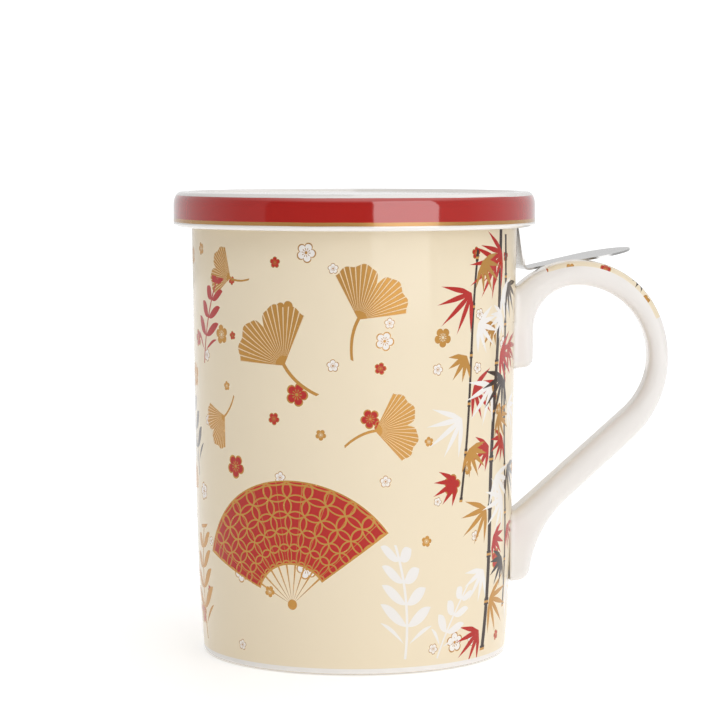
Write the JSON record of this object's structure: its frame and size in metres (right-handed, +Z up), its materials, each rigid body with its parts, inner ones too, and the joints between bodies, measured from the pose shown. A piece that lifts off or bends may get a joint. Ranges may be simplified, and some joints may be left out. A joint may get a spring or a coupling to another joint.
{
  "type": "lidded tea mug with infuser",
  "caption": "Straight porcelain tea mug with a C handle, a lift-off lid and a lift-out slotted steel infuser that hangs from the rim by a flat ring with a bent handle strip.",
  "frame": {"origin": "mug's axis in the plane of its foot, centre of the foot mount", "axes": "+X from the axis to the mug's handle, +Z up, -Y to the front"},
  "size_m": [0.1216, 0.0888, 0.113],
  "materials": {
    "mug_body": "glossy glaze over a cream ground",
    "mug_handle": "glossy white glaze",
    "lid": "glossy glaze, red side band",
    "infuser_rim": "polished sheet steel",
    "infuser_sleeve": "brushed sheet steel",
    "infuser_base": "brushed sheet steel",
    "infuser_handle": "polished sheet steel"
  },
  "bodies": {
    "mug": {"mug_body": "mug_body", "mug_handle": "mug_handle"},
    "infuser": {"infuser_rim": "infuser_rim", "infuser_sleeve": "infuser_sleeve", "infuser_base": "infuser_base", "infuser_handle": "infuser_handle"},
    "lid": {"lid": "lid"}
  },
  "joints": [
    {"name": "infuser_lift", "type": "slide", "parent": "mug", "child": "infuser", "axis": [0, 0, 1], "range_m": [0, 0.09]},
    {"name": "lid_lift", "type": "slide", "parent": "infuser", "child": "lid", "axis": [0, 0, 1], "range_m": [0, 0.04]}
  ]
}
